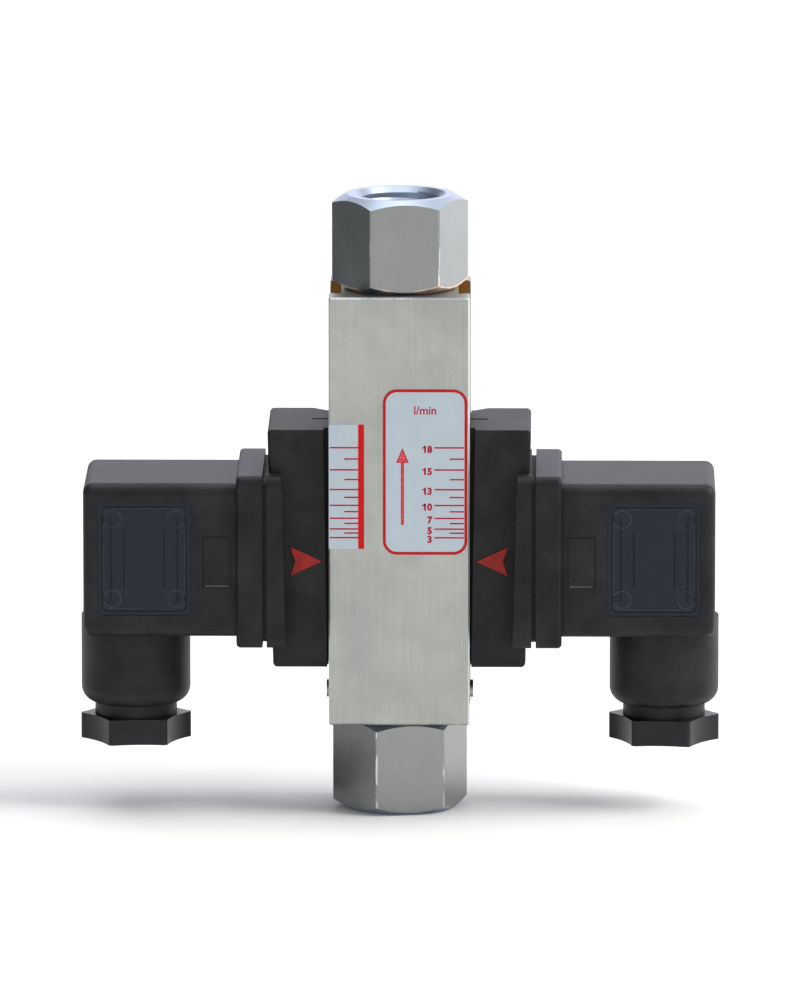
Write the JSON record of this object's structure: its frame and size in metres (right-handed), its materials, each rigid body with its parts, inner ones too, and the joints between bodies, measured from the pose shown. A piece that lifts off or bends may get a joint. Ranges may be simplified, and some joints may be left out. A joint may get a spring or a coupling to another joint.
{
  "type": "flow switch",
  "caption": "Inline float flow switch: square metal bar with hexagonal threaded ports, a scale film, and sliding reed switch blocks with right-angle cable plugs on both sides.",
  "frame": {"origin": "centre of the inlet port's face, at the bottom of the object", "axes": "+Z along the flow, out of the outlet port; +X towards the right switch seen from the scale side; -Y is the front, with the scale"},
  "size_m": [0.1184, 0.0322, 0.115],
  "materials": {
    "base_polyamide": "smooth moulded",
    "black_screw": "blackened",
    "casting_resin": "cast",
    "float_steel": "turned stainless steel",
    "gland_polyamide": "fine moulded grain",
    "housing_polyamide": "fine moulded grain",
    "label_film": "printed silver film",
    "magnet_ferrite": "sintered",
    "nickel_bar": "satin nickel plate on brass",
    "nickel_hexagon": "bright nickel plate on brass",
    "pin_steel": "turned",
    "plain_brass": "turned",
    "plug_polyamide": "fine moulded grain",
    "pointer_red": "moulded",
    "reed_glass": "clear, faintly green",
    "seal_rubber": "moulded",
    "strip_film": "printed silver film",
    "tinned_brass": "tin plated",
    "tinned_wire": "tin plated",
    "zinc_screw": "zinc plated"
  },
  "bodies": {
    "meter": {"flow_body": "nickel_bar", "inlet_fitting": "nickel_hexagon", "outlet_fitting": "nickel_hexagon", "inlet_o_ring": "seal_rubber", "outlet_o_ring": "seal_rubber", "seat_ring": "plain_brass", "float_stop": "plain_brass", "scale_label": "label_film", "strip_label": "strip_film", "stop_pins": "pin_steel"},
    "float": {"float_shell": "float_steel", "float_magnet": "magnet_ferrite", "float_plug": "float_steel"},
    "left_switch": {"left_switch_housing": "housing_polyamide", "left_pointer": "pointer_red", "left_clamp_screw": "black_screw", "left_reed_switch": "reed_glass", "left_reed_leads": "tinned_wire", "left_contact_blades": "tinned_brass", "left_threaded_insert": "plain_brass", "left_contact_base": "base_polyamide", "left_potting": "casting_resin", "left_profile_gasket": "seal_rubber", "left_plug_housing": "plug_polyamide", "left_terminal_insert": "base_polyamide", "left_terminal_screws": "zinc_screw", "left_fixing_screw": "zinc_screw", "left_screw_seal": "seal_rubber", "left_gland_seal": "seal_rubber"},
    "left_gland_ring": {"left_gland_ring": "gland_polyamide"},
    "left_gland_nut": {"left_gland_nut": "gland_polyamide"},
    "right_switch": {"right_switch_housing": "housing_polyamide", "right_pointer": "pointer_red", "right_clamp_screw": "black_screw", "right_reed_switch": "reed_glass", "right_reed_leads": "tinned_wire", "right_contact_blades": "tinned_brass", "right_threaded_insert": "plain_brass", "right_contact_base": "base_polyamide", "right_potting": "casting_resin", "right_profile_gasket": "seal_rubber", "right_plug_housing": "plug_polyamide", "right_terminal_insert": "base_polyamide", "right_terminal_screws": "zinc_screw", "right_fixing_screw": "zinc_screw", "right_screw_seal": "seal_rubber", "right_gland_seal": "seal_rubber"},
    "right_gland_ring": {"right_gland_ring": "gland_polyamide"},
    "right_gland_nut": {"right_gland_nut": "gland_polyamide"}
  },
  "joints": [
    {"name": "float_slide", "type": "slide", "parent": "meter", "child": "float", "axis": [0, 0, 1], "range_m": [0, 0.024]},
    {"name": "left_switch_slide", "type": "slide", "parent": "meter", "child": "left_switch", "axis": [0, 0, 1], "range_m": [-0.0045, 0.0215]},
    {"name": "left_gland_travel", "type": "slide", "parent": "left_switch", "child": "left_gland_ring", "axis": [0, 0, -1], "range_m": [0, 0.0021]},
    {"name": "left_gland_turn", "type": "hinge", "parent": "left_gland_ring", "child": "left_gland_nut", "pos_m": [-0.049, 0, 0.0145], "axis": [0, 0, -1], "range_deg": [0, 540]},
    {"name": "right_switch_slide", "type": "slide", "parent": "meter", "child": "right_switch", "axis": [0, 0, 1], "range_m": [-0.0045, 0.0215]},
    {"name": "right_gland_travel", "type": "slide", "parent": "right_switch", "child": "right_gland_ring", "axis": [0, 0, -1], "range_m": [0, 0.0021]},
    {"name": "right_gland_turn", "type": "hinge", "parent": "right_gland_ring", "child": "right_gland_nut", "pos_m": [0.049, 0, 0.0145], "axis": [0, 0, -1], "range_deg": [0, 540]}
  ],
  "couplings": [
    {"joint": "left_gland_turn", "follows": "left_gland_travel", "rad_per_m": 4456.2},
    {"joint": "right_gland_turn", "follows": "right_gland_travel", "rad_per_m": 4456.2}
  ]
}
